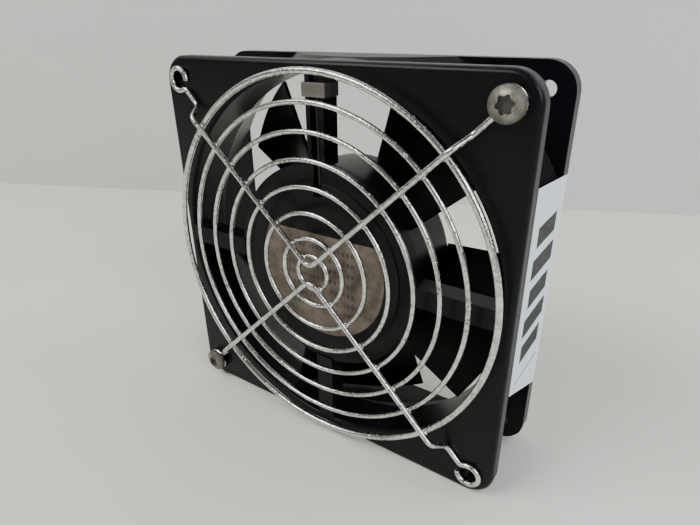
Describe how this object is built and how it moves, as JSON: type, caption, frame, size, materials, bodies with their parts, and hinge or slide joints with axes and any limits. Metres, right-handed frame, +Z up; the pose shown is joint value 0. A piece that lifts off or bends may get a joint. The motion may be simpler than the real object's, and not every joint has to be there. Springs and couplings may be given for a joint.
{
  "type": "axial case fan",
  "caption": "Square axial cooling fan with open flanges, a five-bladed impeller on ball bearings and a wire finger guard on its front.",
  "frame": {"origin": "centre of the rear mounting face, on the fan axis", "axes": "+Z up, -Y out of the front face and guard, +Y out of the rear face, +X to the right seen from the front"},
  "size_m": [0.1192, 0.0388, 0.119],
  "materials": {
    "black_housing_plastic": "satin moulded black",
    "black_impeller_plastic": "satin moulded black",
    "plated_wire": "bright plated wire with fine pits",
    "screw_zinc": "dull zinc plating",
    "clip_plastic": "warm grey moulded",
    "label_foil": "matt metal foil",
    "sticker_paper": "coated white paper",
    "red_insulation": "soft PVC",
    "blue_insulation": "soft PVC",
    "cup_steel": "drawn and zinc plated",
    "ferrite": "matt dark ferrite",
    "brass": "turned",
    "ground_steel": "ground and polished",
    "bearing_steel": "polished",
    "cage_nylon": "natural nylon",
    "spring_steel": "spring temper",
    "lamination_steel": "stamped stack",
    "copper_winding": "enamelled copper wire",
    "insulator_plastic": "ivory moulded",
    "board_laminate": "solder mask on glass laminate",
    "chip_epoxy": "black epoxy",
    "ceramic_parts": "sintered"
  },
  "bodies": {
    "frame": {"bearing_tube": "brass", "blue_lead": "blue_insulation", "board_capacitors": "ceramic_parts", "board_resistors": "ceramic_parts", "circuit_board": "board_laminate", "driver_chip": "chip_epoxy", "front_bearing_outer_ring": "bearing_steel", "front_bearing_shields": "bearing_steel", "front_insulator": "insulator_plastic", "guard_lower_wire": "plated_wire", "guard_ring_1": "plated_wire", "guard_ring_2": "plated_wire", "guard_ring_3": "plated_wire", "guard_ring_4": "plated_wire", "guard_ring_5": "plated_wire", "guard_ring_6": "plated_wire", "guard_ring_7": "plated_wire", "guard_ring_8": "plated_wire", "guard_screws": "screw_zinc", "guard_upper_wire": "plated_wire", "hall_sensor": "chip_epoxy", "housing": "black_housing_plastic", "hub_label": "label_foil", "lead_clip": "clip_plastic", "power_transistors": "chip_epoxy", "rear_bearing_outer_ring": "bearing_steel", "rear_bearing_shields": "bearing_steel", "rear_insulator": "insulator_plastic", "red_lead": "red_insulation", "side_sticker": "sticker_paper", "stator_coils": "copper_winding", "stator_core": "lamination_steel"},
    "rotor": {"impeller": "black_impeller_plastic", "rotor_cup": "cup_steel", "magnet_ring": "ferrite", "rotor_bushing": "brass", "shaft": "ground_steel", "shaft_retaining_ring": "spring_steel", "preload_spring_washer": "spring_steel", "front_bearing_inner_ring": "bearing_steel", "rear_bearing_inner_ring": "bearing_steel"},
    "front_ball_set": {"front_bearing_balls": "bearing_steel", "front_bearing_cage": "cage_nylon"},
    "rear_ball_set": {"rear_bearing_balls": "bearing_steel", "rear_bearing_cage": "cage_nylon"}
  },
  "joints": [
    {"name": "impeller_spin", "type": "hinge", "parent": "frame", "child": "rotor", "pos_m": [0, -0.016, 0], "axis": [0, 1, 0], "continuous": true},
    {"name": "front_ball_set_spin", "type": "hinge", "parent": "frame", "child": "front_ball_set", "pos_m": [0, -0.026, 0], "axis": [0, 1, 0], "continuous": true},
    {"name": "rear_ball_set_spin", "type": "hinge", "parent": "frame", "child": "rear_ball_set", "pos_m": [0, -0.012, 0], "axis": [0, 1, 0], "continuous": true}
  ],
  "couplings": [
    {"joint": "front_ball_set_spin", "follows": "impeller_spin", "ratio": 0.38667},
    {"joint": "rear_ball_set_spin", "follows": "impeller_spin", "ratio": 0.38667}
  ]
}
